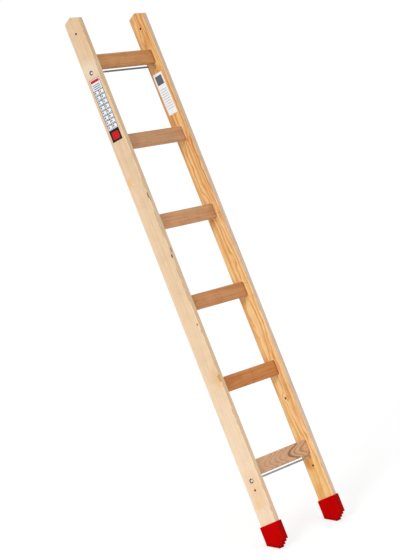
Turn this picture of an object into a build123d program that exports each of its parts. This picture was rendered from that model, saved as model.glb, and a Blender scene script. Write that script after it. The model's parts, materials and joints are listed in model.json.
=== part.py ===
from build123d import *
from math import cos, radians, sin, tan
import os

# A straight wooden ladder, leaning back as it is used, with both soles flat on the floor.
# Frame: X across the ladder, -Y the climbing side, +Y the wall side, Z = 0 the floor.
# All sizes are in millimetres and degrees.
# "Height" of a piece is measured up the stile, from the sole under the middle of the stile.

# How the ladder stands
lean_angle = 25.0
overall_width = 360.0

# Stiles
stile_thickness = 21.0
stile_depth = 64.0
stile_above_top_rung = 159.5
stile_foot_height = 12.4
gable_angle = 23.0
arris_radius = 3.0

# Rungs, glued into blind mortises with a shouldered tenon
rung_count = 6
rung_pitch = 280.0
first_rung_height = 257.4
rung_height = 51.0
rung_depth = 20.0
rung_edge_radius = 7.0
tenon_height = 38.0
tenon_thickness = 12.0
tenon_length = 14.0
glue_gap = 0.15
mortise_end_gap = 0.5

# Tie rods under the top and the bottom rung, with washers and nuts let into the stiles
bottom_rod_below_rung = 8.0
top_rod_below_rung = 9.5
rod_diameter = 6.0
rod_hole_clearance = 0.8
nut_width = 10.0
nut_thickness = 5.0
nut_chamfer = 0.6
thread_clearance = 0.15
washer_diameter = 12.0
washer_thickness = 1.6
washer_clearance = 0.2
recess_diameter = 15.5
recess_depth = 8.0
rod_end_length = 0.8
rod_end_chamfer = 0.6

# Fixing holes through the stiles
fixing_hole_diameter = 6.0
top_hole_drop = 57.5
bottom_hole_drop = 31.0

# Feet
foot_wall = 3.5
foot_clearance = 0.2
foot_rim_height = 78.8
foot_rim_tilt = 2.3
foot_edge_radius = 2.5
foot_rim_radius = 0.8
toe_height = 18.4
toe_step_count = 3
toe_radius = 1.2
sole_front = 9.5

# Label films
label_thickness = 0.3
label_corner_radius = 2.0
outer_label_width = 43.0
outer_label_length = 216.0
outer_label_below_rod = 20.0
outer_label_set_back = -0.9
inner_label_width = 38.0
inner_label_length = 148.0
inner_label_below_rod = 24.0
inner_label_set_back = 2.7
inner_label_tilt = 1.4

# Worked out from the sizes above
lean = radians(lean_angle)
inner_face = overall_width / 2 - stile_thickness
half_depth = stile_depth / 2
shoulder_drop = half_depth * tan(radians(gable_angle))
rung_heights = [first_rung_height + number * rung_pitch for number in range(rung_count)]
stile_top_height = rung_heights[-1] + stile_above_top_rung
bottom_rod_height = rung_heights[0] - rung_height / 2 - bottom_rod_below_rung
top_rod_height = rung_heights[-1] - rung_height / 2 - top_rod_below_rung
rod_seat = overall_width / 2 - recess_depth
rod_reach = rod_seat + washer_thickness + nut_thickness + rod_end_length
top_hole_height = stile_top_height - top_hole_drop
bottom_hole_height = bottom_rod_height - bottom_hole_drop
socket_half_depth = half_depth + foot_clearance
foot_half_depth = socket_half_depth + foot_wall
rim_rise = foot_half_depth * tan(radians(foot_rim_tilt))
foot_inner_face = inner_face - foot_clearance - foot_wall
foot_thickness = stile_thickness + 2 * (foot_clearance + foot_wall)
outer_label_height = top_rod_height - outer_label_below_rod - outer_label_length / 2
inner_label_height = top_rod_height - inner_label_below_rod - inner_label_length / 2

# The ladder's own plane: x across, y to the back, z up the stiles.
# It stands so that the whole ladder's box is centred over the origin.
front_reach = (toe_radius - foot_half_depth) * cos(lean) + (toe_height + toe_radius) * sin(lean) - toe_radius
back_reach = half_depth * cos(lean) + (stile_top_height - shoulder_drop) * sin(lean)
ladder = Plane(
    origin=(0, -(front_reach + back_reach) / 2, 0),
    x_dir=(1, 0, 0),
    z_dir=(0, sin(lean), cos(lean)),
)
up_the_stile = Axis(ladder.origin, ladder.z_dir)

os.makedirs("parts", exist_ok=True)


def side_plane(across):
    # Square to the rungs at this distance across: x runs to the back, y runs up the stile.
    return Plane(origin=ladder.from_local_coords((across, 0, 0)), x_dir=ladder.y_dir, z_dir=ladder.x_dir)


def facing_planes(across, heights, direction):
    # One plane per height, on the stile's centre line, facing to the left (-1) or to the right (1).
    return [
        Plane(origin=ladder.from_local_coords((across, 0, height)), z_dir=ladder.x_dir * direction)
        for height in heights
    ]


def save(piece, name):
    piece.part.label = name
    export_step(piece.part, f"parts/{name}.step")


# Stiles: planks with a gable cut at both ends, mortises inside, nut recesses outside
def build_stile(side):
    outer_planes = facing_planes(side * overall_width / 2, [bottom_rod_height, top_rod_height], side)
    hole_planes = facing_planes(side * overall_width / 2, [bottom_hole_height, top_hole_height], side)
    with BuildPart() as stile:
        with BuildSketch(side_plane(side * inner_face)):
            with BuildLine():
                Polyline(
                    (0, stile_foot_height),
                    (half_depth, stile_foot_height + shoulder_drop),
                    (half_depth, stile_top_height - shoulder_drop),
                    (0, stile_top_height),
                    (-half_depth, stile_top_height - shoulder_drop),
                    (-half_depth, stile_foot_height + shoulder_drop),
                    close=True,
                )
            make_face()
        extrude(amount=side * stile_thickness)
        fillet(stile.edges().filter_by(up_the_stile), radius=arris_radius)
        with BuildSketch(side_plane(side * inner_face)):
            with Locations(*[(0, height) for height in rung_heights]):
                SlotOverall(tenon_height + 2 * glue_gap, tenon_thickness + 2 * glue_gap, rotation=90)
        extrude(amount=side * (tenon_length + mortise_end_gap), mode=Mode.SUBTRACT)
        with Locations(*outer_planes):
            CounterBoreHole(
                radius=rod_diameter / 2 + rod_hole_clearance,
                counter_bore_radius=recess_diameter / 2,
                counter_bore_depth=recess_depth,
            )
        with Locations(*hole_planes):
            Hole(radius=fixing_hole_diameter / 2)
    return stile


for side, name in ((-1, "left_stile"), (1, "right_stile")):
    save(build_stile(side), name)


# Rungs: flat bars with round edges, a tenon at each end, numbered from the floor
for number, height in enumerate(rung_heights, start=1):
    with BuildPart() as rung:
        with BuildSketch(side_plane(-inner_face)):
            with Locations((0, height)):
                RectangleRounded(rung_depth, rung_height, rung_edge_radius)
        extrude(amount=2 * inner_face)
        with BuildSketch(side_plane(-inner_face - tenon_length)):
            with Locations((0, height)):
                SlotOverall(tenon_height, tenon_thickness, rotation=90)
        extrude(amount=2 * (inner_face + tenon_length))
    save(rung, f"rung_{number}")


# Tie rods, each with two washers and two nuts
def build_washers(height):
    with BuildPart() as washers:
        for side in (-1, 1):
            with BuildSketch(*facing_planes(side * rod_seat, [height], side)):
                Circle(washer_diameter / 2)
                Circle(rod_diameter / 2 + washer_clearance, mode=Mode.SUBTRACT)
            extrude(amount=washer_thickness)
    return washers


def build_nuts(height):
    with BuildPart() as nuts:
        for side in (-1, 1):
            with BuildSketch(*facing_planes(side * (rod_seat + washer_thickness), [height], side)):
                RegularPolygon(nut_width / 2, side_count=6, major_radius=False)
                Circle(rod_diameter / 2 + thread_clearance, mode=Mode.SUBTRACT)
            extrude(amount=nut_thickness)
        outer_faces = nuts.faces().sort_by(Axis.X)
        chamfer(outer_faces[0].outer_wire().edges(), length=nut_chamfer)
        chamfer(outer_faces[-1].outer_wire().edges(), length=nut_chamfer)
    return nuts


for place, height in (("bottom", bottom_rod_height), ("top", top_rod_height)):
    with BuildPart() as rod:
        with BuildSketch(*facing_planes(-rod_reach, [height], 1)):
            Circle(rod_diameter / 2)
        extrude(amount=2 * rod_reach)
        chamfer(rod.edges().filter_by(GeomType.CIRCLE), length=rod_end_chamfer)
    save(rod, f"{place}_tie_rod")
    save(build_washers(height), f"{place}_tie_rod_washers")
    save(build_nuts(height), f"{place}_tie_rod_nuts")


# Feet: moulded shoes with a flat sole behind, a stepped toe in front and a rim that rises to the front
def toe_points():
    # From the front of the sole up to the front wall, in equal steps.
    sole_front_height = -sole_front * tan(lean)
    tread = (foot_half_depth - sole_front) / toe_step_count
    riser = (toe_height - sole_front_height) / toe_step_count
    points = []
    for step in range(toe_step_count):
        corner = (-sole_front - step * tread, sole_front_height + step * riser)
        points += [corner, (corner[0], corner[1] + riser)]
    return points + [(-foot_half_depth, toe_height)]


def build_foot(side):
    with BuildPart() as foot:
        with BuildSketch(side_plane(side * foot_inner_face)) as outline:
            with BuildLine():
                Polyline(
                    (foot_half_depth, foot_rim_height - rim_rise),
                    (foot_half_depth, foot_half_depth * tan(lean)),
                    *toe_points(),
                    (-foot_half_depth, foot_rim_height + rim_rise),
                    close=True,
                )
            make_face()
            fillet(outline.vertices().sort_by(Axis.Y)[:-2], radius=toe_radius)
        extrude(amount=side * foot_thickness)
        wall_edges = foot.edges().filter_by(up_the_stile).sort_by(SortBy.LENGTH)[-4:]
        fillet(wall_edges, radius=foot_edge_radius)
        fillet(foot.faces().sort_by(up_the_stile)[-1].edges(), radius=foot_rim_radius)
        with BuildSketch(side_plane(side * (inner_face - foot_clearance))):
            with BuildLine():
                Polyline(
                    (0, stile_foot_height),
                    (socket_half_depth, stile_foot_height + socket_half_depth * tan(radians(gable_angle))),
                    (socket_half_depth, foot_rim_height + rim_rise),
                    (-socket_half_depth, foot_rim_height + rim_rise),
                    (-socket_half_depth, stile_foot_height + socket_half_depth * tan(radians(gable_angle))),
                    close=True,
                )
            make_face()
        extrude(amount=side * (stile_thickness + 2 * foot_clearance), mode=Mode.SUBTRACT)
    return foot


for side, name in ((-1, "left_foot"), (1, "right_foot")):
    save(build_foot(side), name)


# Labels: films stuck a little off the middle, outside on the left stile and inside on the right one
with BuildPart() as outer_label:
    with BuildSketch(side_plane(-overall_width / 2)):
        with Locations((outer_label_set_back, outer_label_height)):
            RectangleRounded(outer_label_width, outer_label_length, label_corner_radius)
    extrude(amount=-label_thickness)
save(outer_label, "outer_label")

with BuildPart() as inner_label:
    with BuildSketch(side_plane(inner_face)):
        with Locations((inner_label_set_back, inner_label_height)):
            RectangleRounded(
                inner_label_width, inner_label_length, label_corner_radius, rotation=-inner_label_tilt
            )
    extrude(amount=-label_thickness)
save(inner_label, "inner_label")
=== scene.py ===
import json
import math

import bmesh
import bpy
from mathutils import Matrix, Vector


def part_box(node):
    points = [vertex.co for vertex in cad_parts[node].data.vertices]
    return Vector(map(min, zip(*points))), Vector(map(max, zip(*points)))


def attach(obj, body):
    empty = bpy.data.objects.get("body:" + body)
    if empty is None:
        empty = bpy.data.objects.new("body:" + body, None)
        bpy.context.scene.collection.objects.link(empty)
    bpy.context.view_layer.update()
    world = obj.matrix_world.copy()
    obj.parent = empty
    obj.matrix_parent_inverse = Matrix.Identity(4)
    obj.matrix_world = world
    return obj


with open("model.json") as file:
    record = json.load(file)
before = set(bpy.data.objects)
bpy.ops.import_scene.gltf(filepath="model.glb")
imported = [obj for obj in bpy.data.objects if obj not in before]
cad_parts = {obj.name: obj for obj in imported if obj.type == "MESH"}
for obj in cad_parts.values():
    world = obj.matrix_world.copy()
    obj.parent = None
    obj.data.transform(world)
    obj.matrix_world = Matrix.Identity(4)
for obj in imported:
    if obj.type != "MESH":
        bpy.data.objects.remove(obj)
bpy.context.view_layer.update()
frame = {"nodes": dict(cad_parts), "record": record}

cadNodes = frame["nodes"]
print("loaded", len(cadNodes), "CAD nodes")


def middle(node):
    low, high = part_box(node)
    return (low + high) / 2


# How the ladder stands, read from the frame: x across, depth to the back, height up the stiles, in metres
bottomRod, topRod = middle("bottom_tie_rod"), middle("top_tie_rod")
lean = math.atan2(topRod.y - bottomRod.y, topRod.z - bottomRod.z)


def upTheStile(point):
    return point[2] / math.cos(lean)


ladder = {
    "base": Vector((0.0, bottomRod.y - bottomRod.z * math.tan(lean), 0.0)),
    "innerFace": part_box("right_stile")[0].x,
    "stileHalf": (0.0105, 0.032),  # half the thickness and half the depth
    "arris": 0.003,
    "tip": 1.8169,
    "gable": math.tan(math.radians(23.0)),  # fall of the end cuts to each side
    "rungs": [upTheStile(middle(f"rung_{number}")) for number in range(1, 7)],
    "rungHalf": (0.010, 0.0255),  # half the depth and half the height
    "rungEdge": 0.007,
    "rods": [upTheStile(bottomRod), upTheStile(topRod)],
    "rodRecess": 0.00775,
    "fixingHoles": [upTheStile(mount["pos_m"]) for mount in frame["record"]["mounts"]
                    if mount["name"] in ("left_bottom_fixing_hole", "left_top_fixing_hole")],
    "fixingHole": 0.003,
}
ladder["outerFace"] = ladder["innerFace"] + 2 * ladder["stileHalf"][0]
ladderMatrix = Matrix.Translation(ladder["base"]) @ Matrix.Rotation(-lean, 4, "X")
print("leans back", round(math.degrees(lean), 2), "degrees")


# Small helpers for node trees
def put(tree, kind, inputs=None, **settings):
    made = tree.nodes.new(kind)
    for name, value in settings.items():
        setattr(made, name, value)
    for key, value in (inputs or {}).items():
        if isinstance(value, bpy.types.NodeSocket):
            tree.links.new(value, made.inputs[key])
        else:
            made.inputs[key].default_value = value
    return made


def maths(tree, operation, *values):
    return put(tree, "ShaderNodeMath", dict(enumerate(values)), operation=operation).outputs[0]


def vectorMaths(tree, operation, *values):
    made = put(tree, "ShaderNodeVectorMath", dict(enumerate(values)), operation=operation)
    return made.outputs["Value" if operation in ("LENGTH", "DOT_PRODUCT") else "Vector"]


def scaled(tree, vector, share):
    return put(tree, "ShaderNodeVectorMath", {0: vector, "Scale": share}, operation="SCALE").outputs["Vector"]


def split(tree, vector):
    return put(tree, "ShaderNodeSeparateXYZ", {0: vector}).outputs


def joined(tree, *parts):
    return put(tree, "ShaderNodeCombineXYZ", dict(enumerate(parts))).outputs[0]


def fade(tree, value, low, high, start=0.0, end=1.0):  # a smooth step from start to end
    inputs = {"Value": value, "From Min": low, "From Max": high, "To Min": start, "To Max": end}
    return put(tree, "ShaderNodeMapRange", inputs, interpolation_type="SMOOTHSTEP").outputs["Result"]


def mixColour(tree, factor, first, second):
    return put(tree, "ShaderNodeMix", {0: factor, 6: first, 7: second}, data_type="RGBA").outputs[2]


def tint(tree, colour, mask, share, shade):  # lays a share of the shade over the colour, where the mask is
    return mixColour(tree, maths(tree, "MULTIPLY", mask, share), colour, shade)


def noise(tree, vector, cycles, seed, detail=2.0, roughness=0.5, output="Fac"):  # cycles per metre
    stretched = vectorMaths(tree, "MULTIPLY", vector, cycles)
    inputs = {"Vector": stretched, "W": seed, "Scale": 1.0, "Detail": detail, "Roughness": roughness}
    return put(tree, "ShaderNodeTexNoise", inputs, noise_dimensions="4D").outputs[output]


def tone(red, green, blue):  # a colour as a picture shows it, 0 to 255, turned into linear light
    shares = [value / 255 for value in (red, green, blue)]
    return tuple(s / 12.92 if s <= 0.04045 else ((s + 0.055) / 1.055) ** 2.4 for s in shares) + (1.0,)


def shades(tones):
    return {name: tone(*colour) for name, colour in tones.items()}


def startGroup(name, vectors, values, outputs):
    tree = bpy.data.node_groups.new(name, "ShaderNodeTree")
    sockets = [(label, "INPUT", "NodeSocketVector") for label in vectors]
    sockets += [(label, "INPUT", "NodeSocketFloat") for label in values]
    sockets += [(label, "OUTPUT", "NodeSocketFloat") for label in outputs]
    for label, direction, kind in sockets:
        tree.interface.new_socket(label, in_out=direction, socket_type=kind)
    return tree, tree.nodes.new("NodeGroupInput").outputs, tree.nodes.new("NodeGroupOutput").inputs


def useGroup(tree, group, **inputs):
    return put(tree, "ShaderNodeGroup", inputs, node_tree=group).outputs


def startMaterial(name, key, value):  # key, value: one input of the shader that stays plain
    material = bpy.data.materials.new(name)
    material.use_nodes = True
    surface = material.node_tree.nodes["Principled BSDF"]
    surface.inputs[key].default_value = value
    return material, material.node_tree, surface


def finishSurface(tree, surface, colour, rough, relief, strength, distance):
    bump = put(tree, "ShaderNodeBump", {"Height": relief, "Strength": strength, "Distance": distance})
    tree.links.new(colour, surface.inputs["Base Color"])
    tree.links.new(rough, surface.inputs["Roughness"])
    tree.links.new(bump.outputs["Normal"], surface.inputs["Normal"])


def ladderVector(tree):  # the place on the ladder: across, depth, height
    where = put(tree, "ShaderNodeTexCoord").outputs["Object"]
    turned = Matrix.Rotation(lean, 3, "X") @ -ladder["base"]
    inputs = {"Vector": where, "Rotation": (lean, 0.0, 0.0), "Location": turned}
    return put(tree, "ShaderNodeMapping", inputs).outputs["Vector"]


def dress(name, material):
    cadNodes[name].data.materials.clear()
    cadNodes[name].data.materials.append(material)


# Growth rings round a pith, with the grain along the vector's z
ringForm = {
    "drift": (6.0, 6.0, 1.6), "ripple": (50.0, 50.0, 11.0),  # slow and quick swings of the grain
    "yearStep": 0.41, "yearSpread": 1.3,  # how much one year differs from the next
    "rise": 0.88, "fall": (0.9, 1.0, 1.0, 0.0), "strength": (0.3, 0.65, 0.45, 1.0),
}


def makeGrowthRings():
    tree, given, result = startGroup(
        "growthRings",
        ("Vector", "Pith"),
        ("RingWidth", "Wander", "Taper", "Bulge", "EarlyShare", "Ripple", "Seed"),
        ("Latewood",),
    )
    swings = []
    for cycles in (ringForm["drift"], ringForm["ripple"]):
        cloud = noise(tree, given["Vector"], cycles, given["Seed"], output="Color")
        swings.append(vectorMaths(tree, "SUBTRACT", cloud, (0.5, 0.5, 0.5)))
    sway = vectorMaths(tree, "ADD", swings[0], scaled(tree, swings[1], given["Ripple"]))
    fromPith = vectorMaths(tree, "SUBTRACT", given["Vector"], given["Pith"])
    fromPith = vectorMaths(tree, "ADD", fromPith, scaled(tree, sway, given["Wander"]))
    flat = vectorMaths(tree, "MULTIPLY", fromPith, (1.0, 1.0, 0.0))
    along = split(tree, given["Vector"])["Z"]
    radius = maths(tree, "MULTIPLY_ADD", along, given["Taper"], vectorMaths(tree, "LENGTH", flat))
    radius = maths(tree, "ADD", radius, given["Bulge"])
    turns = maths(tree, "DIVIDE", radius, given["RingWidth"])
    yearInputs = {"W": maths(tree, "MULTIPLY_ADD", turns, ringForm["yearStep"], given["Seed"]),
                  "Scale": 1.0, "Detail": 1.0}
    year = put(tree, "ShaderNodeTexNoise", yearInputs, noise_dimensions="1D").outputs["Fac"]
    share = maths(tree, "FRACT", maths(tree, "MULTIPLY_ADD", year, ringForm["yearSpread"], turns))
    rise = fade(tree, share, given["EarlyShare"], ringForm["rise"])
    fall = fade(tree, share, *ringForm["fall"])
    strength = fade(tree, year, *ringForm["strength"])
    late = maths(tree, "MULTIPLY", maths(tree, "MULTIPLY", rise, fall), strength)
    tree.links.new(late, result["Latewood"])
    return tree


# Fibres, long streaks and soft blotches of sawn wood, with the grain along the vector's z
fibreForm = {  # cycles per metre, detail and roughness of the noise
    "Fibre": ((1300.0, 1300.0, 22.0), 3.0, 0.5),
    "Streak": ((120.0, 120.0, 3.0), 3.0, 0.55),
    "Blotch": ((16.0, 16.0, 3.2), 2.0, 0.5),
}


def makeWoodFibre():
    tree, given, result = startGroup("woodFibre", ("Vector",), ("Seed",), fibreForm)
    for label, (cycles, detail, roughness) in fibreForm.items():
        tree.links.new(noise(tree, given["Vector"], cycles, given["Seed"], detail, roughness), result[label])
    return tree


# A branch that grew out of the pith: a dark core, and a halo where the grain swells round it
knotForm = {
    "stretch": 0.7,  # below 1: longer along the grain
    "uneven": (160.0, 160.0, 160.0), "unevenSeed": 4.0, "unevenShare": 0.7,
    "Core": (0.55, 1.1), "Halo": (0.3, 4.5),  # from full to nothing, in sizes of the knot
}


def makeKnot():
    tree, given, result = startGroup("knot", ("Vector", "Pith", "Towards"), ("Height", "Size"),
                                     ("Core", "Halo"))
    fromPith = vectorMaths(tree, "SUBTRACT", given["Vector"], given["Pith"])
    sideways = split(tree, vectorMaths(tree, "CROSS_PRODUCT", given["Towards"], fromPith))["Z"]
    ahead = vectorMaths(tree, "DOT_PRODUCT", given["Towards"], fromPith)
    rise = maths(tree, "SUBTRACT", split(tree, given["Vector"])["Z"], given["Height"])
    reach = joined(tree, sideways, maths(tree, "MULTIPLY", rise, knotForm["stretch"]))
    away = maths(tree, "DIVIDE", vectorMaths(tree, "LENGTH", reach), given["Size"])
    uneven = noise(tree, given["Vector"], knotForm["uneven"], knotForm["unevenSeed"])
    uneven = maths(tree, "MULTIPLY_ADD", uneven, knotForm["unevenShare"], -knotForm["unevenShare"] / 2)
    away = maths(tree, "ADD", away, uneven)
    facing = maths(tree, "GREATER_THAN", ahead, 0.0)
    for label in ("Core", "Halo"):
        spread = fade(tree, away, *knotForm[label], 1.0, 0.0)
        tree.links.new(maths(tree, "MULTIPLY", spread, facing), result[label])
    return tree


# Marks of handling: smudges and fine scratches
handlingForm = {
    "cloud": (24.0, 24.0, 24.0), "cloudDetail": 4.0, "cloudRoughness": 0.6, "smudge": (0.42, 0.72),
    "lines": (70.0, 210.0, 45.0), "lineDetail": 1.0, "lineWidth": 0.006,
    "patches": (19.0, 19.0, 19.0), "patchSeed": 3.7, "scratched": (0.55, 0.7),
}


def makeHandling():
    tree, given, result = startGroup("handling", ("Vector",), ("Seed",), ("Smudge", "Scratch"))
    cloud = noise(tree, given["Vector"], handlingForm["cloud"], given["Seed"], handlingForm["cloudDetail"],
                  handlingForm["cloudRoughness"])
    lines = noise(tree, given["Vector"], handlingForm["lines"], given["Seed"], handlingForm["lineDetail"])
    patchSeed = maths(tree, "ADD", given["Seed"], handlingForm["patchSeed"])
    patches = noise(tree, given["Vector"], handlingForm["patches"], patchSeed)
    fromLine = maths(tree, "ABSOLUTE", maths(tree, "SUBTRACT", lines, 0.5))
    scratch = maths(tree, "MULTIPLY", fade(tree, fromLine, 0.0, handlingForm["lineWidth"], 1.0, 0.0),
                    fade(tree, patches, *handlingForm["scratched"]))
    tree.links.new(fade(tree, cloud, *handlingForm["smudge"]), result["Smudge"])
    tree.links.new(scratch, result["Scratch"])
    return tree


# Round edges of a bar whose section lies in the vector's x and y: the whole edge, and where it is rubbed
wearForm = {
    "corner": (0.1, 0.55), "rubbed": (0.34, 0.62),
    "rubbing": (60.0, 60.0, 21.0), "rubbingSeed": 5.0, "rubbingDetail": 5.0, "rubbingRoughness": 0.65,
}


def makeEdgeWear():
    tree, given, result = startGroup("edgeWear", ("Vector",), ("HalfX", "HalfY", "Radius", "Seed"),
                                     ("Worn", "Corner"))
    place = split(tree, given["Vector"])
    depths = []
    for axis, half in (("X", "HalfX"), ("Y", "HalfY")):
        beyond = maths(tree, "SUBTRACT", maths(tree, "ABSOLUTE", place[axis]), given[half])
        depths.append(maths(tree, "ADD", beyond, given["Radius"]))
    corner = maths(tree, "DIVIDE", maths(tree, "MINIMUM", *depths), given["Radius"])
    corner = fade(tree, corner, *wearForm["corner"])
    rubbingSeed = maths(tree, "ADD", given["Seed"], wearForm["rubbingSeed"])
    rubbing = noise(tree, given["Vector"], wearForm["rubbing"], rubbingSeed, wearForm["rubbingDetail"],
                    wearForm["rubbingRoughness"])
    tree.links.new(maths(tree, "MULTIPLY", corner, fade(tree, rubbing, *wearForm["rubbed"])), result["Worn"])
    tree.links.new(corner, result["Corner"])
    return tree


growthRings = makeGrowthRings()
woodFibre = makeWoodFibre()
knot = makeKnot()
handling = makeHandling()
edgeWear = makeEdgeWear()
print("shader groups made")

# Pine stiles: pale sapwood outside, warm heartwood on the face towards the rungs
pine = {
    "specular": 0.22,
    "heart": (0.002, 0.006, 1.0, 0.0), "heartWander": 0.004,  # where the heartwood ends, from inside
    "front": (-0.0316, -0.0300, 1.0, 0.0),  # the depth where the front face begins
    "streak": (0.44, 0.66), "blotch": (0.5, 0.75, 0.0, 0.5), "fibre": (0.38, 0.75, 0.0, 0.14),
    "top": (1.0, 1.8), "topStreak": 1.4, "topPlain": 0.36,  # deeper colour towards the top
    "low": (0.1, 0.9, 0.5, 0.0), "lowFront": -0.75,  # painted light: paler towards the floor, less so in front
    "foot": (0.16, 0.26),  # golden below these heights
    "knotFocus": 3.0, "knotWarmth": 0.75,  # amber round the knots
    "skin": 0.0008,  # how deep the marks on the inner face go
    "glue": (0.006, 0.019, 0.5, 0.0), "glueWander": 0.016, "patch": (0.7, 1.5), "patchWander": 0.8,
    "pencil": (0.0003, 0.0011, 0.5, 0.0), "endGrain": (-0.0008, -0.0002, 0.0, 0.4),
    "pocket": (0.7, 1.05, 0.95, 0.0), "rubbed": (0.6, 1.0, 0.0, 0.62),
    "boreDirt": 0.8, "dirtReach": 1.5, "boreReach": 1.02, "boreFrom": 0.0005,
    "smudge": 0.10, "scratch": 0.22,
    "rough": 0.42, "roughFibre": 0.22, "roughLate": -0.08,
    "reliefLate": 0.6, "reliefScratch": -0.8, "bump": (0.5, 0.00025),
    "tones": {
        "knot": (92, 58, 30), "endGrain": (214, 168, 116), "pocket": (48, 30, 18), "pencil": (128, 96, 66),
        # bore and recess: the walls of the holes darkened as painted shade; the recess is also drilled wood
        "boreShade": (16, 9, 4), "rim": (70, 42, 18), "recessWoodAndShade": (150, 114, 78), "glue": (252, 222, 172),
        # stain: resin and darker heartwood, and painted shade just below some rungs
        "paleTone": (253, 232, 207), "golden": (255, 212, 136), "stainAndShade": (222, 136, 40),
        # arris: the tone of a painted highlight along the arrises
        "blush": (236, 180, 112), "grime": (150, 118, 84), "arris": (255, 222, 174),
    },
}
stiles = {
    "left_stile": {
        "pith": (-0.085, 0.060, 0.0), "ringWidth": 0.0036, "wander": 0.014, "ripple": 0.3, "taper": 0.003,
        "bulge": 0.00792, "earlyShare": 0.2, "seed": 2.3, "wearSeed": 16.9,
        "streaks": 0.45, "topShade": 0.24, "frontShade": 1.9, "lowWarm": 0.0, "paleArris": 0.75,
        "tones": {"sapEarly": (246, 217, 183), "sapLate": (229, 194, 152), "heartEarly": (252, 206, 145),
                  "heartLate": (212, 143, 72), "rubbed": (138, 102, 66)},
        "knots": (  # direction from the pith (across, depth), height, size, darkness of the core
            ((-0.7376, -0.6752), 0.744, 0.0030, 0.6), ((-0.917, -0.3989), 1.243, 0.0045, 0.0),
            ((-0.7250, -0.6888), 0.555, 0.0056, 0.3), ((-0.7250, -0.6888), 0.566, 0.0056, 0.3),
            ((-0.8897, -0.4566), 0.143, 0.0055, 0.0),
        ),
        "pockets": (  # pitch pockets: across, depth, height, half width, half length
            (-0.1785, -0.0312, 1.186, 0.0018, 0.013), (-0.1755, -0.0320, 1.172, 0.0016, 0.008),
            (-0.1715, -0.0320, 0.996, 0.0018, 0.011), (-0.1780, -0.0314, 0.976, 0.0028, 0.008),
        ),
        "pencilMarks": (),
        "innerPatches": (),
        "outerPatches": (  # tone, depth, height, half width, half length, share
            ("blush", -0.007, 0.192, 0.045, 0.072, 0.29), ("blush", -0.021, 0.564, 0.024, 0.046, 0.32),
            ("blush", -0.0235, 1.735, 0.018, 0.085, 0.20), ("blush", 0.015, 1.247, 0.019, 0.018, 0.36),
            ("paleTone", 0.014, 1.634, 0.075, 0.042, 0.62),  # round the upper nut
        ),
    },
    "right_stile": {
        "pith": (0.090, 0.055, 0.0), "ringWidth": 0.011, "wander": 0.050, "ripple": 0.5, "taper": 0.004,
        "bulge": 0.010, "earlyShare": 0.3, "seed": 5.2, "wearSeed": 41.7,
        "streaks": 0.48, "topShade": 0.56, "frontShade": 0.3, "lowWarm": 0.36, "paleArris": 0.45,
        "tones": {"sapEarly": (245, 217, 190), "sapLate": (227, 195, 162), "heartEarly": (254, 209, 147),
                  "heartLate": (211, 135, 58), "rubbed": (166, 134, 100)},
        "knots": (((0.804, -0.5946), 0.431, 0.0036, 1.0),),
        "pockets": (),
        "pencilMarks": (1.0839, 0.8314, 1.3569),  # heights
        "innerPatches": (  # resin at the foot, glue stains with painted shade just below some rungs, darker and paler heartwood
            ("stainAndShade", 0.015, 0.103, 0.016, 0.044, 0.45), ("stainAndShade", 0.011, 0.196, 0.019, 0.024, 0.7),
            ("stainAndShade", -0.0105, 0.789, 0.006, 0.006, 0.5), ("stainAndShade", 0.0165, 1.069, 0.008, 0.009, 0.85),
            ("stainAndShade", -0.0125, 1.350, 0.008, 0.008, 0.85), ("stainAndShade", -0.020, 0.378, 0.0115, 0.057, 0.36),
            ("stainAndShade", -0.020, 1.155, 0.0115, 0.080, 0.30), ("golden", -0.020, 0.812, 0.015, 0.057, 0.5),
            ("golden", -0.015, 1.650, 0.024, 0.075, 0.42),
        ),
        "outerPatches": (),
    },
}


def fromSpot(tree, where, spot, halfWidth, halfLength):  # 1 at the rim of a long round patch
    away = vectorMaths(tree, "SUBTRACT", where, spot)
    away = vectorMaths(tree, "DIVIDE", away, (halfWidth, halfWidth, halfLength))
    return vectorMaths(tree, "LENGTH", away)


def fromRungEnds(tree, place):  # how far beside the outline of the nearest rung's end
    first, second = ladder["rungs"][:2]
    halfPitch = (second - first) / 2
    fromRung = maths(tree, "WRAP", maths(tree, "SUBTRACT", place["Z"], first), halfPitch, -halfPitch)
    reach = []
    for value, half in zip((place["Y"], fromRung), ladder["rungHalf"]):
        beyond = maths(tree, "SUBTRACT", maths(tree, "ABSOLUTE", value), half - ladder["rungEdge"])
        reach.append(maths(tree, "MAXIMUM", beyond, 0.0))
    return maths(tree, "SUBTRACT", vectorMaths(tree, "LENGTH", joined(tree, *reach)), ladder["rungEdge"])


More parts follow.
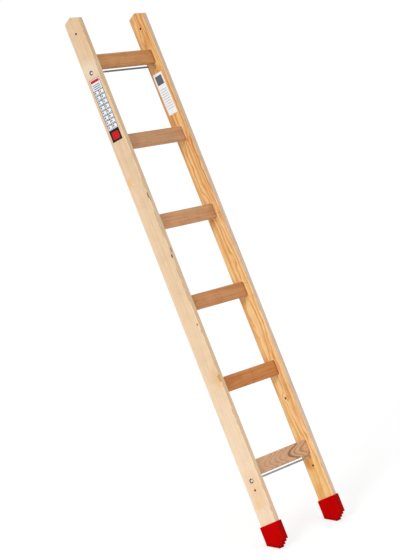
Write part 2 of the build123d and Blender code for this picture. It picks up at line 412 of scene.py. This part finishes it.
def pineWood(tree, look):  # what the layers of the wood read
    where = ladderVector(tree)
    place = split(tree, where)
    fromInner = maths(tree, "SUBTRACT", maths(tree, "ABSOLUTE", place["X"]), ladder["innerFace"])
    bulges, cores, warmth = 0.0, 0.0, 0.0
    for towards, height, size, darkness in look["knots"]:
        found = useGroup(tree, knot, Vector=where, Pith=look["pith"], Towards=towards + (0.0,), Height=height,
                         Size=size)
        bulges = maths(tree, "MULTIPLY_ADD", found["Halo"], look["bulge"], bulges)
        cores = maths(tree, "MULTIPLY_ADD", found["Core"], darkness, cores)
        near = maths(tree, "POWER", found["Halo"], pine["knotFocus"])
        warmth = maths(tree, "MULTIPLY_ADD", near, pine["knotWarmth"], warmth)
    rings = useGroup(tree, growthRings, Vector=where, Pith=look["pith"], RingWidth=look["ringWidth"],
                     Wander=look["wander"], Ripple=look["ripple"], Taper=look["taper"], Bulge=bulges,
                     EarlyShare=look["earlyShare"], Seed=look["seed"])
    grain = useGroup(tree, woodFibre, Vector=where, Seed=look["seed"])
    marks = useGroup(tree, handling, Vector=where, Seed=look["seed"])
    edge = maths(tree, "MULTIPLY_ADD", grain["Blotch"], pine["heartWander"], fromInner)
    inside = fade(tree, edge, *pine["heart"])
    outside = maths(tree, "SUBTRACT", 1.0, inside)
    onInner = maths(tree, "LESS_THAN", fromInner, pine["skin"])
    return {"where": where, "place": place, "fromInner": fromInner, "cores": cores, "warmth": warmth,
            "late": rings["Latewood"], "grain": grain, "marks": marks, "inside": inside, "outside": outside,
            "onInner": onInner}


# Sapwood and heartwood, deeper towards the top, and paler towards the floor as painted light
def pineGrain(tree, look, wood, shade):
    place, grain, inside, outside = wood["place"], wood["grain"], wood["inside"], wood["outside"]
    front = fade(tree, place["Y"], *pine["front"])
    streak = fade(tree, grain["Streak"], *pine["streak"])
    sap = mixColour(tree, wood["late"], shade["sapEarly"], shade["sapLate"])
    heart = mixColour(tree, wood["late"], shade["heartEarly"], shade["heartLate"])
    deep = mixColour(tree, inside, shade["sapLate"], shade["heartLate"])
    colour = mixColour(tree, inside, sap, heart)
    colour = tint(tree, colour, streak, look["streaks"], deep)
    uneven = maths(tree, "MULTIPLY_ADD", streak, pine["topStreak"], pine["topPlain"])
    uneven = maths(tree, "MULTIPLY_ADD", front, look["frontShade"], uneven)
    high = fade(tree, place["Z"], *pine["top"], 0.0, look["topShade"])
    colour = tint(tree, colour, high, uneven, deep)
    colour = tint(tree, colour, fade(tree, grain["Blotch"], *pine["blotch"]), outside, shade["sapEarly"])
    # painted light: the outside paler towards the floor
    low = maths(tree, "MULTIPLY", fade(tree, place["Z"], *pine["low"]), outside)
    lowShare = maths(tree, "MULTIPLY_ADD", front, pine["lowFront"], 1.0)
    colour = tint(tree, colour, low, lowShare, shade["paleTone"])
    foot = fade(tree, place["Z"], *pine["foot"], look["lowWarm"], 0.0)
    colour = tint(tree, colour, foot, inside, shade["golden"])
    colour = mixColour(tree, wood["warmth"], colour, shade["heartEarly"])
    return mixColour(tree, fade(tree, grain["Fibre"], *pine["fibre"]), colour, shade["heartLate"])


# Wiped glue round the rung ends, patches, and pencil lines squared across beside some rungs
def pineStains(tree, look, wood, shade, colour):
    place, blotch, onInner = wood["place"], wood["grain"]["Blotch"], wood["onInner"]
    smear = maths(tree, "MULTIPLY_ADD", blotch, pine["glueWander"], fromRungEnds(tree, place))
    colour = tint(tree, colour, fade(tree, smear, *pine["glue"]), onInner, shade["glue"])
    side = math.copysign(1.0, look["pith"][0])
    for face, mask in (("inner", onInner), ("outer", wood["outside"])):
        across = side * ladder[face + "Face"]
        for mark, depth, height, halfWidth, halfLength, share in look[face + "Patches"]:
            away = fromSpot(tree, wood["where"], (across, depth, height), halfWidth, halfLength)
            away = maths(tree, "MULTIPLY_ADD", blotch, pine["patchWander"], away)
            colour = tint(tree, colour, fade(tree, away, *pine["patch"], share, 0.0), mask, shade[mark])
    beforeRung = maths(tree, "LESS_THAN", place["Y"], -ladder["rungHalf"][0])
    for height in look["pencilMarks"]:
        close = maths(tree, "ABSOLUTE", maths(tree, "SUBTRACT", place["Z"], height))
        line = maths(tree, "MULTIPLY", fade(tree, close, *pine["pencil"]), beforeRung)
        colour = tint(tree, colour, line, onInner, shade["pencil"])
    return colour


# Painted highlight along the arrises, then end grain, knots, pitch pockets and rubbed places
def pineWear(tree, look, wood, shade, colour):
    place = wood["place"]
    halfThick, halfDeep = ladder["stileHalf"]
    section = joined(tree, maths(tree, "SUBTRACT", wood["fromInner"], halfThick), place["Y"], place["Z"])
    wear = useGroup(tree, edgeWear, Vector=section, HalfX=halfThick, HalfY=halfDeep, Radius=ladder["arris"],
                    Seed=look["wearSeed"])
    # painted highlight: every arris tinted paler, as if it caught the light
    colour = tint(tree, colour, wear["Corner"], look["paleArris"], shade["arris"])
    slope = maths(tree, "MULTIPLY_ADD", maths(tree, "ABSOLUTE", place["Y"]), ladder["gable"], place["Z"])
    endGrain = fade(tree, maths(tree, "SUBTRACT", slope, ladder["tip"]), *pine["endGrain"])
    colour = mixColour(tree, endGrain, colour, shade["endGrain"])
    colour = mixColour(tree, wood["cores"], colour, shade["knot"])
    for across, depth, height, halfWidth, halfLength in look["pockets"]:
        away = fromSpot(tree, wood["where"], (across, depth, height), halfWidth, halfLength)
        colour = mixColour(tree, fade(tree, away, *pine["pocket"]), colour, shade["pocket"])
    return mixColour(tree, fade(tree, wear["Worn"], *pine["rubbed"]), colour, shade["rubbed"])


# Drilled holes, their walls darkened as painted shade, with dirt round the small ones
def pineHoles(tree, wood, shade, colour):
    place = wood["place"]
    drilled = [(height, ladder["rodRecess"], "recessWoodAndShade", 0.0) for height in ladder["rods"]]
    drilled += [(height, ladder["fixingHole"], "boreShade", pine["boreDirt"]) for height in ladder["fixingHoles"]]
    behindInner = maths(tree, "GREATER_THAN", wood["fromInner"], pine["boreFrom"])
    for height, radius, mark, dirt in drilled:
        aside = joined(tree, place["Y"], maths(tree, "SUBTRACT", place["Z"], height))
        away = vectorMaths(tree, "LENGTH", aside)
        dirty = fade(tree, away, radius, radius * pine["dirtReach"], dirt, 0.0)
        colour = mixColour(tree, dirty, colour, shade["rim"])
        # painted shade: the walls of the holes darkened
        hole = maths(tree, "LESS_THAN", away, radius * pine["boreReach"])
        colour = tint(tree, colour, hole, behindInner, shade[mark])
    return colour


def pineMaterial(name, look):
    material, tree, surface = startMaterial(name + "_pine", "Specular IOR Level", pine["specular"])
    shade = shades(look["tones"] | pine["tones"])
    wood = pineWood(tree, look)
    late, fibre, marks = wood["late"], wood["grain"]["Fibre"], wood["marks"]
    colour = pineGrain(tree, look, wood, shade)
    colour = pineStains(tree, look, wood, shade, colour)
    colour = pineWear(tree, look, wood, shade, colour)
    colour = pineHoles(tree, wood, shade, colour)
    colour = tint(tree, colour, marks["Smudge"], pine["smudge"], shade["grime"])
    colour = tint(tree, colour, marks["Scratch"], pine["scratch"], shade["sapLate"])
    rough = maths(tree, "MULTIPLY_ADD", fibre, pine["roughFibre"], pine["rough"])
    rough = maths(tree, "MULTIPLY_ADD", late, pine["roughLate"], rough)
    relief = maths(tree, "MULTIPLY_ADD", late, pine["reliefLate"], fibre)
    relief = maths(tree, "MULTIPLY_ADD", marks["Scratch"], pine["reliefScratch"], relief)
    finishSurface(tree, surface, colour, rough, relief, *pine["bump"])
    return material


for name, look in stiles.items():
    dress(name, pineMaterial(name, look))
print("stiles dressed in pine")

# Beech rungs, lowest first: each was cut from another board
beech = {
    "specular": 0.22, "ripple": 0.3, "grime": (112, 82, 58),
    "fleckCells": (1500.0, 1900.0, 300.0), "fleckEdge": (0.25, 0.45, 1.0, 0.0), "fleckChosen": 0.62,
    "fleck": 0.35, "darker": 0.72,  # flecks, and the glue stain with painted contact shade at the rung ends, as a share of the late wood's tone
    "ringsAcross": (-0.12, 0.06),  # from the strength at the left to that at the right
    "streak": (0.4, 0.75), "blotch": (0.45, 0.75, 0.0, 0.35), "fibre": (0.4, 0.75, 0.0, 0.2),
    "ends": (0.004, 0.022), "endWander": 0.012,
    "worn": 0.35, "smudge": 0.16, "scratch": 0.25,
    "rough": 0.38, "roughFibre": 0.2, "roughWorn": -0.1, "roughSmudge": 0.1,  # polished by shoes and hands
    "reliefFleck": -0.7, "reliefScratch": -0.8, "bump": (0.4, 0.0002),
}
rungs = (  # rings: their strength at the left and the right; ends: share of the darker rung ends by the stiles, glue stain with painted contact shade
    {"early": (243, 193, 150), "late": (163, 100, 59), "pith": (0.034, -0.002), "ringWidth": 0.0036,
     "taper": -0.095, "wander": 0.005, "earlyShare": 0.35, "rings": (0.2, 1.0), "streaks": 0.3,
     "seed": 21.34, "ends": 0.4},
    {"early": (226, 149, 82), "late": (187, 104, 44), "pith": (0.075, 0.010), "ringWidth": 0.0030,
     "taper": 0.010, "wander": 0.020, "earlyShare": 0.2, "rings": (0.45, 0.6), "streaks": 0.8,
     "seed": 18.4, "ends": 0.8},
    {"early": (231, 164, 109), "late": (192, 122, 68), "pith": (-0.060, 0.045), "ringWidth": 0.0032,
     "taper": -0.012, "wander": 0.020, "earlyShare": 0.2, "rings": (0.5, 0.55), "streaks": 0.8,
     "seed": 22.1, "ends": 0.65},
    {"early": (234, 176, 126), "late": (200, 137, 91), "pith": (0.085, -0.020), "ringWidth": 0.0028,
     "taper": 0.006, "wander": 0.018, "earlyShare": 0.2, "rings": (0.45, 0.45), "streaks": 0.8,
     "seed": 25.8, "ends": 0.45},
    {"early": (225, 172, 128), "late": (194, 136, 93), "pith": (-0.090, 0.030), "ringWidth": 0.0030,
     "taper": -0.008, "wander": 0.018, "earlyShare": 0.2, "rings": (0.45, 0.45), "streaks": 0.8,
     "seed": 29.5, "ends": 0.35},
    {"early": (231, 168, 108), "late": (187, 118, 61), "pith": (0.060, 0.050), "ringWidth": 0.0034,
     "taper": 0.012, "wander": 0.020, "earlyShare": 0.2, "rings": (0.5, 0.55), "streaks": 0.8,
     "seed": 33.2, "ends": 0.6},
)


def beechMaterial(number, look):
    material, tree, surface = startMaterial(f"rung_{number}_beech", "Specular IOR Level", beech["specular"])
    place = split(tree, ladderVector(tree))
    height = maths(tree, "SUBTRACT", place["Z"], ladder["rungs"][number - 1])
    board = joined(tree, place["Y"], height, place["X"])
    halfDeep, halfHigh = ladder["rungHalf"]
    rings = useGroup(tree, growthRings, Vector=board, Pith=look["pith"] + (0.0,), RingWidth=look["ringWidth"],
                     Wander=look["wander"], Ripple=beech["ripple"], Taper=look["taper"], Bulge=0.0,
                     EarlyShare=look["earlyShare"], Seed=look["seed"])
    grain = useGroup(tree, woodFibre, Vector=board, Seed=look["seed"])
    marks = useGroup(tree, handling, Vector=board, Seed=look["seed"])
    wear = useGroup(tree, edgeWear, Vector=board, HalfX=halfDeep, HalfY=halfHigh, Radius=ladder["rungEdge"],
                    Seed=look["seed"])

    # The short dark flecks that beech shows
    cells = vectorMaths(tree, "MULTIPLY", board, beech["fleckCells"])
    rays = put(tree, "ShaderNodeTexVoronoi", {"Vector": cells, "Scale": 1.0, "Randomness": 1.0}).outputs
    chosen = put(tree, "ShaderNodeSeparateColor", {0: rays["Color"]}).outputs[0]
    fleck = maths(tree, "MULTIPLY", fade(tree, rays["Distance"], *beech["fleckEdge"]),
                  maths(tree, "GREATER_THAN", chosen, beech["fleckChosen"]))

    early, late = tone(*look["early"]), tone(*look["late"])
    dark = tone(*[beech["darker"] * part for part in look["late"]])
    strength = fade(tree, place["X"], *beech["ringsAcross"], *look["rings"])
    fromEnd = maths(tree, "SUBTRACT", ladder["innerFace"], maths(tree, "ABSOLUTE", place["X"]))
    fromEnd = maths(tree, "MULTIPLY_ADD", grain["Blotch"], beech["endWander"], fromEnd)
    colour = mixColour(tree, maths(tree, "MULTIPLY", rings["Latewood"], strength), early, late)
    streak = fade(tree, grain["Streak"], *beech["streak"], 0.0, look["streaks"])
    colour = mixColour(tree, streak, colour, late)
    colour = mixColour(tree, fade(tree, grain["Blotch"], *beech["blotch"]), colour, early)
    # glue stain and painted contact shade: darker towards the stiles
    colour = mixColour(tree, fade(tree, fromEnd, *beech["ends"], look["ends"], 0.0), colour, dark)
    colour = tint(tree, colour, fleck, beech["fleck"], dark)
    colour = mixColour(tree, fade(tree, grain["Fibre"], *beech["fibre"]), colour, late)
    colour = tint(tree, colour, wear["Worn"], beech["worn"], early)
    colour = tint(tree, colour, marks["Smudge"], beech["smudge"], tone(*beech["grime"]))
    colour = tint(tree, colour, marks["Scratch"], beech["scratch"], early)

    rough = maths(tree, "MULTIPLY_ADD", grain["Fibre"], beech["roughFibre"], beech["rough"])
    rough = maths(tree, "MULTIPLY_ADD", wear["Worn"], beech["roughWorn"], rough)
    rough = maths(tree, "MULTIPLY_ADD", marks["Smudge"], beech["roughSmudge"], rough)
    relief = maths(tree, "MULTIPLY_ADD", fleck, beech["reliefFleck"], grain["Fibre"])
    relief = maths(tree, "MULTIPLY_ADD", marks["Scratch"], beech["reliefScratch"], relief)
    finishSurface(tree, surface, colour, rough, relief, *beech["bump"])
    return material


for number, look in enumerate(rungs, start=1):
    dress(f"rung_{number}", beechMaterial(number, look))
print("rungs dressed in beech")

# Tie rods, nuts and washers: zinc plated steel
steel = {
    "seed": 21.0, "crystals": 900.0, "crystalShare": 0.25, "lineSeed": 5.0, "lineDetail": 3.0,
    "sheen": (0.4, 0.8),
    "bright": (0.108, 0.138),  # across: a painted reflection makes the rod ends lighter from here outwards
    "smudge": 0.45, "roughSmudge": 0.12, "bump": (0.25, 0.0001),
}
steelLooks = {  # lines: along the drawn rods, even on the nuts; rough: the least, and what the lines add
    "top_tie_rod": {
        # painted shade: the top rod is a darker copy of the same steel
        "tones": {"light": (118, 120, 124), "dark": (76, 78, 83), "dull": (60, 58, 56),
                  "bright": (226, 226, 228)},
        "endReflection": 0.85, "rough": (0.12, 0.14), "lines": (30.0, 4200.0, 4200.0),
    },
    "bottom_tie_rod": {
        "tones": {"light": (172, 174, 178), "dark": (122, 124, 129), "dull": (96, 94, 92),
                  "bright": (226, 226, 228)},
        "endReflection": 0.85, "rough": (0.12, 0.14), "lines": (30.0, 4200.0, 4200.0),
    },
    "nut": {
        # painted light: the nuts and washers made lighter against the shade of their recesses
        "tones": {"light": (226, 228, 234), "dark": (196, 198, 206), "dull": (160, 158, 158),
                  "bright": (226, 228, 234)},
        "endReflection": 0.0, "rough": (0.26, 0.18), "lines": (2600.0, 2600.0, 2600.0),
    },
}


def steelMaterial(name, look):
    material, tree, surface = startMaterial(name, "Metallic", 1.0)
    shade = shades(look["tones"])
    where = ladderVector(tree)
    marks = useGroup(tree, handling, Vector=where, Seed=steel["seed"])
    cells = put(tree, "ShaderNodeTexVoronoi", {"Vector": where, "Scale": steel["crystals"]}).outputs
    crystal = put(tree, "ShaderNodeSeparateColor", {0: cells["Color"]}).outputs[0]
    lines = noise(tree, where, look["lines"], steel["lineSeed"], steel["lineDetail"])
    sheen = maths(tree, "MULTIPLY_ADD", crystal, steel["crystalShare"], lines)
    across = maths(tree, "ABSOLUTE", split(tree, where)["X"])
    colour = mixColour(tree, fade(tree, sheen, *steel["sheen"]), shade["dark"], shade["light"])
    colour = tint(tree, colour, marks["Smudge"], steel["smudge"], shade["dull"])
    # painted reflection: the rod ends by the stiles made lighter
    colour = tint(tree, colour, fade(tree, across, *steel["bright"]), look["endReflection"], shade["bright"])
    least, more = look["rough"]
    rough = maths(tree, "MULTIPLY_ADD", lines, more, least)
    rough = maths(tree, "MULTIPLY_ADD", marks["Smudge"], steel["roughSmudge"], rough)
    relief = maths(tree, "SUBTRACT", lines, marks["Scratch"])
    finishSurface(tree, surface, colour, rough, relief, *steel["bump"])
    return material


nutSteel = steelMaterial("zinc_steel_painted_lighter", steelLooks["nut"])
for rod in ("top_tie_rod", "bottom_tie_rod"):
    dress(rod, steelMaterial(rod + "_steel", steelLooks[rod]))
    dress(rod + "_nuts", nutSteel)
    dress(rod + "_washers", nutSteel)
print("tie rods dressed in steel")

# Feet: moulded red plastic, scuffed, darker and dusty towards the floor, with painted shade on the toe
feet = {
    "tones": {"red": (196, 0, 0), "deep": (146, 0, 0), "scuff": (178, 12, 10), "dust": (104, 18, 14)},
    "specular": 0.03, "seed": 31.0,
    "skin": (1500.0, 1500.0, 1500.0), "skinSeed": 6.0, "skinDeep": (0.55, 0.8, 0.0, 0.2),
    "flow": (30.0, 30.0, 12.0), "flowSeed": 8.0, "flowDetail": 3.0, "flowDeep": (0.4, 0.75, 0.0, 0.4),
    "low": (0.001, 0.014, 1.0, 0.0), "lowDeep": 0.6, "lowDust": 0.5, "scratch": 0.35,
    "toe": (-0.0352, -0.0330, 0.2, 0.0),  # painted shade: darker on the front of the foot
    "rough": 0.4, "roughSkin": 0.25, "roughSmudge": 0.15, "reliefScratch": -1.2, "bump": (0.3, 0.0002),
}


def plasticMaterial():
    material, tree, surface = startMaterial("red_plastic", "Specular IOR Level", feet["specular"])
    shade = shades(feet["tones"])
    where = ladderVector(tree)
    marks = useGroup(tree, handling, Vector=where, Seed=feet["seed"])
    skin = noise(tree, where, feet["skin"], feet["skinSeed"])
    flow = noise(tree, where, feet["flow"], feet["flowSeed"], feet["flowDetail"])
    fromFloor = split(tree, put(tree, "ShaderNodeTexCoord").outputs["Object"])["Z"]
    low = fade(tree, fromFloor, *feet["low"])
    dusty = maths(tree, "MULTIPLY", marks["Smudge"], low)
    toe = fade(tree, split(tree, where)["Y"], *feet["toe"])
    colour = mixColour(tree, fade(tree, flow, *feet["flowDeep"]), shade["red"], shade["deep"])
    colour = mixColour(tree, fade(tree, skin, *feet["skinDeep"]), colour, shade["deep"])
    colour = tint(tree, colour, marks["Scratch"], feet["scratch"], shade["scuff"])
    colour = tint(tree, colour, low, feet["lowDeep"], shade["deep"])
    colour = tint(tree, colour, dusty, feet["lowDust"], shade["dust"])
    # painted shade: the front of the foot darker
    colour = mixColour(tree, toe, colour, shade["deep"])
    rough = maths(tree, "MULTIPLY_ADD", skin, feet["roughSkin"], feet["rough"])
    rough = maths(tree, "MULTIPLY_ADD", marks["Smudge"], feet["roughSmudge"], rough)
    relief = maths(tree, "MULTIPLY_ADD", marks["Scratch"], feet["reliefScratch"], skin)
    finishSurface(tree, surface, colour, rough, relief, *feet["bump"])
    return material


redPlastic = plasticMaterial()
for name in ("left_foot", "right_foot"):
    dress(name, redPlastic)
print("feet dressed in red plastic")

# Labels: blank white film with plain printed boxes
labelFilm = {
    "tilt": {"outer_label": 0.0, "inner_label": math.radians(1.4)},  # the inner one leans to the back
    "specular": 0.2, "seed": 41.0, "smudge": 0.4, "scratch": 0.5,
    "speck": (2400.0, 2400.0, 2400.0), "speckSeed": 9.0, "specks": (0.5, 0.8, 0.0, 0.3),
    "wrinkle": (90.0, 90.0, 60.0), "wrinkleSeed": 3.0, "wrinkleDetail": 3.0,
    "roughSmudge": 0.2, "reliefSpeck": 0.15, "bump": (0.25, 0.0004),
}
inks = {  # tone, tone where worn, roughness
    "white_film": ((250, 253, 255), (234, 238, 244), 0.3),
    "dark_ink": ((16, 16, 18), (40, 38, 38), 0.35),
    "line_ink": ((46, 46, 50), (74, 72, 72), 0.4),
    "grey_ink": ((96, 98, 108), (122, 122, 130), 0.4),
    "pale_ink": ((206, 208, 216), (220, 220, 224), 0.4),
    "blue_ink": ((112, 130, 162), (140, 152, 176), 0.4),
    "red_ink": ((216, 16, 20), (206, 44, 42), 0.4),
}


def filmMaterial(name, fresh, worn, rough):
    material, tree, surface = startMaterial(name, "Specular IOR Level", labelFilm["specular"])
    fresh, worn = tone(*fresh), tone(*worn)
    where = ladderVector(tree)
    marks = useGroup(tree, handling, Vector=where, Seed=labelFilm["seed"])
    wrinkle = noise(tree, where, labelFilm["wrinkle"], labelFilm["wrinkleSeed"], labelFilm["wrinkleDetail"])
    speck = noise(tree, where, labelFilm["speck"], labelFilm["speckSeed"])
    colour = mixColour(tree, fade(tree, speck, *labelFilm["specks"]), fresh, worn)
    colour = tint(tree, colour, marks["Smudge"], labelFilm["smudge"], worn)
    colour = tint(tree, colour, marks["Scratch"], labelFilm["scratch"], worn)
    rough = maths(tree, "MULTIPLY_ADD", marks["Smudge"], labelFilm["roughSmudge"], rough)
    relief = maths(tree, "MULTIPLY_ADD", speck, labelFilm["reliefSpeck"], wrinkle)
    finishSurface(tree, surface, colour, rough, relief, *labelFilm["bump"])
    return material


films = {name: filmMaterial(name, *look) for name, look in inks.items()}
for name in ("outer_label", "inner_label"):
    dress(name, films["white_film"])


# Geometry Nodes: rows and columns of thin printed boxes with round corners
printForm = {"cornerPoints": 5, "weld": 1e-6, "inkLayer": 0.00002}


def makePrintedBoxes():
    tree = bpy.data.node_groups.new("printedBoxes", "GeometryNodeTree")
    tree.is_modifier = True
    sockets = {"Columns": "Int", "Rows": "Int", "Pitch Across": "Float", "Pitch Along": "Float",
               "Box Width": "Float", "Box Length": "Float", "Corner": "Float", "Thickness": "Float",
               "Ink": "Material"}
    for label, kind in sockets.items():
        tree.interface.new_socket(label, in_out="INPUT", socket_type="NodeSocket" + kind)
    tree.interface.new_socket("Geometry", in_out="OUTPUT", socket_type="NodeSocketGeometry")
    given = tree.nodes.new("NodeGroupInput").outputs
    result = tree.nodes.new("NodeGroupOutput").inputs
    wide = maths(tree, "MULTIPLY", given["Pitch Across"], maths(tree, "SUBTRACT", given["Columns"], 1.0))
    long = maths(tree, "MULTIPLY", given["Pitch Along"], maths(tree, "SUBTRACT", given["Rows"], 1.0))
    gridSize = {"Size X": wide, "Size Y": long, "Vertices X": given["Columns"], "Vertices Y": given["Rows"]}
    places = put(tree, "GeometryNodeMeshGrid", gridSize).outputs["Mesh"]
    boxSize = {"Width": given["Box Width"], "Height": given["Box Length"]}
    outline = put(tree, "GeometryNodeCurvePrimitiveQuadrilateral", boxSize).outputs["Curve"]
    corner = {"Curve": outline, "Count": printForm["cornerPoints"], "Radius": given["Corner"]}
    rounded = put(tree, "GeometryNodeFilletCurve", corner, mode="POLY").outputs["Curve"]
    base = put(tree, "GeometryNodeFillCurve", {"Curve": rounded}, mode="NGONS").outputs["Mesh"]
    upwards = {"Mesh": base, "Offset Scale": given["Thickness"], "Individual": False}
    raised = put(tree, "GeometryNodeExtrudeMesh", upwards).outputs["Mesh"]
    under = put(tree, "GeometryNodeFlipFaces", {"Mesh": base}).outputs["Mesh"]
    whole = tree.nodes.new("GeometryNodeJoinGeometry")
    tree.links.new(raised, whole.inputs["Geometry"])
    tree.links.new(under, whole.inputs["Geometry"])
    welded = {"Geometry": whole.outputs["Geometry"], "Distance": printForm["weld"]}
    closed = put(tree, "GeometryNodeMergeByDistance", welded).outputs["Geometry"]
    copies = put(tree, "GeometryNodeInstanceOnPoints", {"Points": places, "Instance": closed}).outputs[0]
    real = put(tree, "GeometryNodeRealizeInstances", {"Geometry": copies}).outputs["Geometry"]
    inked = put(tree, "GeometryNodeSetMaterial", {"Geometry": real, "Material": given["Ink"]})
    tree.links.new(inked.outputs["Geometry"], result["Geometry"])
    return tree


def bakeNodes(name, tree, inputs, matrix):  # runs a node tree once and keeps its result as a plain mesh
    carrier = bpy.data.objects.new(name + "Carrier", bpy.data.meshes.new(name + "Carrier"))
    bpy.context.scene.collection.objects.link(carrier)
    modifier = carrier.modifiers.new("nodes", "NODES")
    modifier.node_group = tree
    sockets = {item.name: item.identifier for item in tree.interface.items_tree if item.in_out == "INPUT"}
    for label, value in inputs.items():
        modifier[sockets[label]] = value
    seen = carrier.evaluated_get(bpy.context.evaluated_depsgraph_get())
    mesh = bpy.data.meshes.new_from_object(seen)
    bpy.data.objects.remove(carrier)
    mesh.name = name
    mesh.transform(matrix)
    piece = bpy.data.objects.new(name, mesh)
    bpy.context.scene.collection.objects.link(piece)
    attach(piece, "root")
    print(name, len(mesh.polygons), "faces")


def labelFace(label):  # the film's outer face, turned to the -X side: x to the front, y up the label
    spot = ladderMatrix.inverted() @ middle(label)
    axes = Matrix((
        (0.0, 0.0, -1.0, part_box(label)[0].x),
        (-1.0, 0.0, 0.0, spot.y),
        (0.0, 1.0, 0.0, spot.z),
        (0.0, 0.0, 0.0, 1.0),
    ))
    return ladderMatrix @ axes @ Matrix.Rotation(labelFilm["tilt"][label], 4, "Z")


# Rise and set forward from the label's middle, layer, ink, then the sizes that the node tree takes
prints = {
    "outer_label": {
        "lines": (0.0, 0.0, 0, "line_ink", 1, 1, 0.0, 0.0, 0.0428, 0.2156, 0.0018),
        "field": (0.0880, 0.0, 1, "white_film", 1, 1, 0.0, 0.0, 0.0400, 0.0368, 0.0012),
        "boxes": (-0.0002, 0.0, 1, "white_film", 2, 8, 0.0207, 0.0171, 0.0184, 0.0148, 0.0008),
        "panel": (-0.0884, 0.0, 1, "dark_ink", 1, 1, 0.0, 0.0, 0.0420, 0.0384, 0.0014),
        "band": (0.0995, 0.0, 2, "red_ink", 1, 1, 0.0, 0.0, 0.0358, 0.0090, 0.0010),
        "heading": (0.0810, 0.0, 2, "grey_ink", 1, 3, 0.0, 0.0062, 0.0316, 0.0026, 0.0004),
        "ticks": (0.0018, -0.0044, 2, "blue_ink", 2, 8, 0.0207, 0.0171, 0.0056, 0.0056, 0.0006),
        "entries": (-0.0052, 0.0, 2, "line_ink", 2, 8, 0.0207, 0.0171, 0.0146, 0.0016, 0.0002),
        "stamp": (-0.0884, 0.0, 2, "red_ink", 1, 1, 0.0, 0.0, 0.0284, 0.0245, 0.0044),
    },
    "inner_label": {
        "block": (0.0490, 0.0, 0, "grey_ink", 1, 1, 0.0, 0.0, 0.0285, 0.0320, 0.0006),
        "rules": (-0.0180, 0.0, 0, "pale_ink", 1, 9, 0.0, 0.0085, 0.0285, 0.0030, 0.0004),
    },
}
printSizes = ("Columns", "Rows", "Pitch Across", "Pitch Along", "Box Width", "Box Length", "Corner")
printedBoxes = makePrintedBoxes()
for label, layers in prints.items():
    for part, (rise, forward, layer, ink, *sizes) in layers.items():
        inputs = dict(zip(printSizes, sizes), Ink=films[ink], Thickness=printForm["inkLayer"])
        onLabel = Matrix.Translation((forward, rise, layer * printForm["inkLayer"]))
        bakeNodes(f"{label}_{part}", printedBoxes, inputs, labelFace(label) @ onLabel)
print("labels printed")

# Stage: a plain white floor, an even sky, a soft sun from the left and a low fill
stage = {"floorRadius": 90.0, "floorSides": 96, "floorGrey": 0.62, "floorGlow": 0.56, "sky": 0.63}
lamps = {  # kind, place, direction of the light, other settings
    "sun": ("SUN", (0.0, 0.0, 3.0), (0.92, 0.12, -0.37), {"energy": 1.0, "angle": math.radians(15.0)}),
    "lowFill": ("AREA", (-2.1, -1.6, 0.35), (2.0, 1.3, 0.1), {"energy": 11.7, "size": 0.9}),
}


def seenDirectly(tree):  # 1 where the camera, a reflection or a see-through ray looks
    path = put(tree, "ShaderNodeLightPath").outputs
    sharp = maths(tree, "MAXIMUM", path["Is Camera Ray"], path["Is Glossy Ray"])
    return maths(tree, "MAXIMUM", sharp, path["Is Transmission Ray"])


def makeFloor():
    mesh = bpy.data.meshes.new("floor")
    shape = bmesh.new()
    bmesh.ops.create_circle(shape, cap_ends=True, radius=stage["floorRadius"], segments=stage["floorSides"])
    shape.to_mesh(mesh)
    shape.free()
    floor = bpy.data.objects.new("floor", mesh)
    bpy.context.scene.collection.objects.link(floor)
    material = bpy.data.materials.new("studio_floor")
    material.use_nodes = True
    tree = material.node_tree
    tree.nodes.remove(tree.nodes["Principled BSDF"])
    grey = stage["floorGrey"]
    matt = put(tree, "ShaderNodeBsdfDiffuse", {"Color": (grey, grey, grey, 1.0)}).outputs[0]
    glowing = maths(tree, "MULTIPLY", seenDirectly(tree), stage["floorGlow"])
    glow = put(tree, "ShaderNodeEmission", {"Strength": glowing}).outputs[0]
    both = put(tree, "ShaderNodeAddShader", {0: matt, 1: glow}).outputs[0]
    tree.links.new(both, tree.nodes["Material Output"].inputs["Surface"])
    mesh.materials.append(material)


def makeSky():
    world = bpy.data.worlds.new("studio")
    bpy.context.scene.world = world
    world.use_nodes = True
    tree = world.node_tree
    strength = maths(tree, "MULTIPLY_ADD", seenDirectly(tree), 1.0 - stage["sky"], stage["sky"])
    tree.links.new(strength, tree.nodes["Background"].inputs["Strength"])
    tree.nodes["Background"].inputs["Color"].default_value = (1.0, 1.0, 1.0, 1.0)


def makeLamp(name, kind, place, towards, settings):
    lamp = bpy.data.lights.new(name, kind)
    for key, value in settings.items():
        setattr(lamp, key, value)
    holder = bpy.data.objects.new(name, lamp)
    holder.location = place
    holder.rotation_euler = Vector(towards).to_track_quat("-Z", "Y").to_euler()
    bpy.context.scene.collection.objects.link(holder)


makeFloor()
makeSky()
for name, look in lamps.items():
    makeLamp(name, *look)
print("stage set")

# Camera: where the photograph was taken from
view = {"place": (-4.9525, -3.583322, 1.859041), "azimuth": 53.941, "pitch": 9.888, "roll": -1.436,
        "lens": 122.607, "clipEnd": 300.0}
cameraData = bpy.data.cameras.new("camera")
cameraData.lens = view["lens"]
cameraData.clip_end = view["clipEnd"]
camera = bpy.data.objects.new("camera", cameraData)
aim = Matrix.Translation(view["place"])
for angle, axis in ((-view["azimuth"], "Z"), (90.0 - view["pitch"], "X"), (view["roll"], "Z")):
    aim = aim @ Matrix.Rotation(math.radians(angle), 4, axis)
camera.matrix_world = aim
bpy.context.scene.collection.objects.link(camera)
bpy.context.scene.camera = camera
bpy.context.scene.view_settings.view_transform = "Standard"
